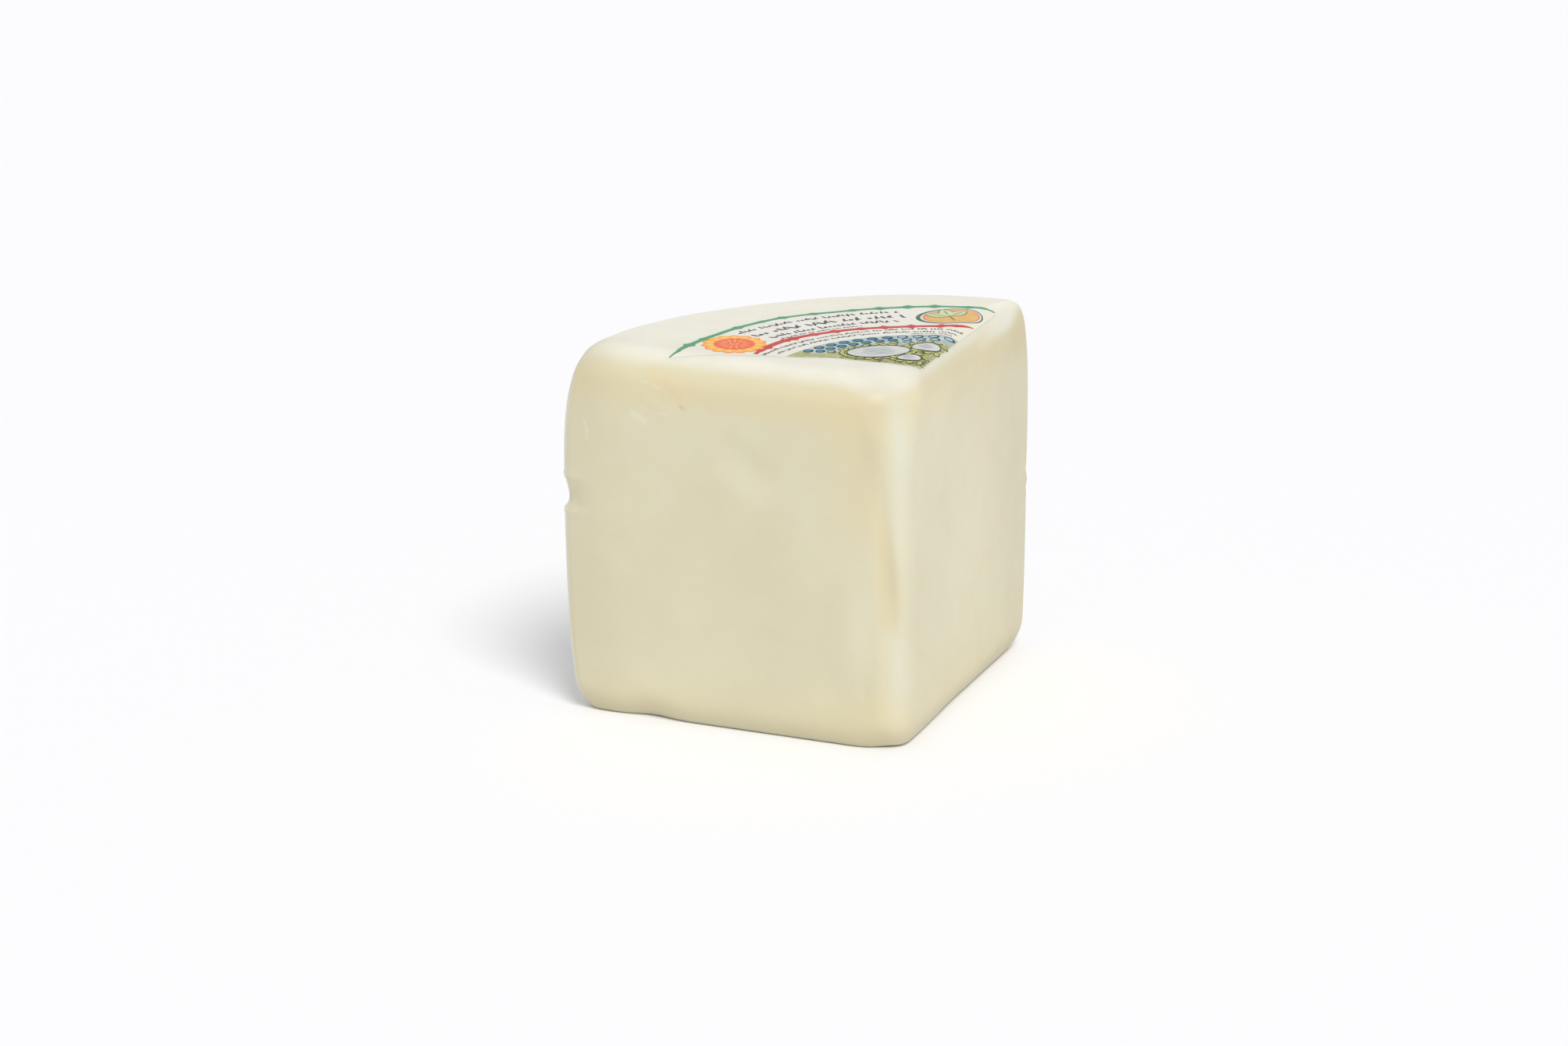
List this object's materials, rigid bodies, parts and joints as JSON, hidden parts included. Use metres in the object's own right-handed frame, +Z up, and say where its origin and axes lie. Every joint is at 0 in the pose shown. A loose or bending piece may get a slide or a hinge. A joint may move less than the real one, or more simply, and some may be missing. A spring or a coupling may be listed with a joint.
{
  "type": "fresh pecorino cheese quarter",
  "caption": "Quarter of a small fresh sheep's-milk cheese wheel with soft rounded edges, a bulging rind side and a printed paper label on its top.",
  "frame": {"origin": "on the floor, under the middle of the bounding box of the quarter", "axes": "+Z up along the wheel's axis, which stands at the corner towards +X and -Y; one cut face looks along -Y, the other along +X, and the rind's side bulges out towards -X and +Y"},
  "size_m": [0.0902, 0.0902, 0.094],
  "materials": {
    "cheese": "moist, waxy, slightly glossy",
    "label": "printed, satin"
  },
  "bodies": {
    "root": {"cheese": "cheese", "label": "label"}
  },
  "joints": []
}
